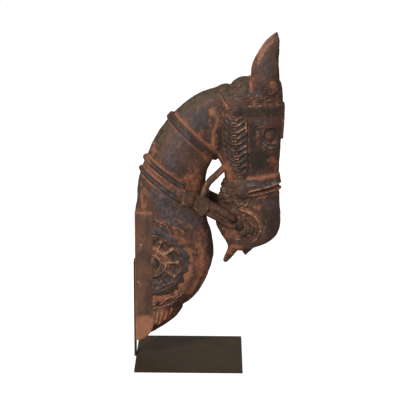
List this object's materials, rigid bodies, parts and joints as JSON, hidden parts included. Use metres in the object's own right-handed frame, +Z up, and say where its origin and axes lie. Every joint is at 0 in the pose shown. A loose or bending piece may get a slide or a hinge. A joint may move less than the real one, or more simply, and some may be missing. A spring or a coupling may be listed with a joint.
{
  "type": "horse head sculpture",
  "caption": "Carved wooden horse head and neck in bridle and harness, with a medallion on its shoulder, held upright on a flat steel stand.",
  "frame": {"origin": "centre of the base plate's underside", "axes": "+X towards the horse's face, +Z up, +Y across the carving, away from the side with the nails"},
  "size_m": [0.3921, 0.25, 0.876],
  "materials": {
    "painted_wood": "worn dark paint over red-brown wood",
    "dark_steel": "dark brown satin patina",
    "screw_steel": "darkened",
    "nail_steel": "bare heads"
  },
  "bodies": {
    "root": {"horse_head": "painted_wood", "base_plate": "dark_steel", "upright_bar": "dark_steel", "screw_bottom": "screw_steel", "screw_middle": "screw_steel", "screw_top": "screw_steel", "nail_upper": "nail_steel", "nail_lower": "nail_steel"}
  },
  "joints": []
}
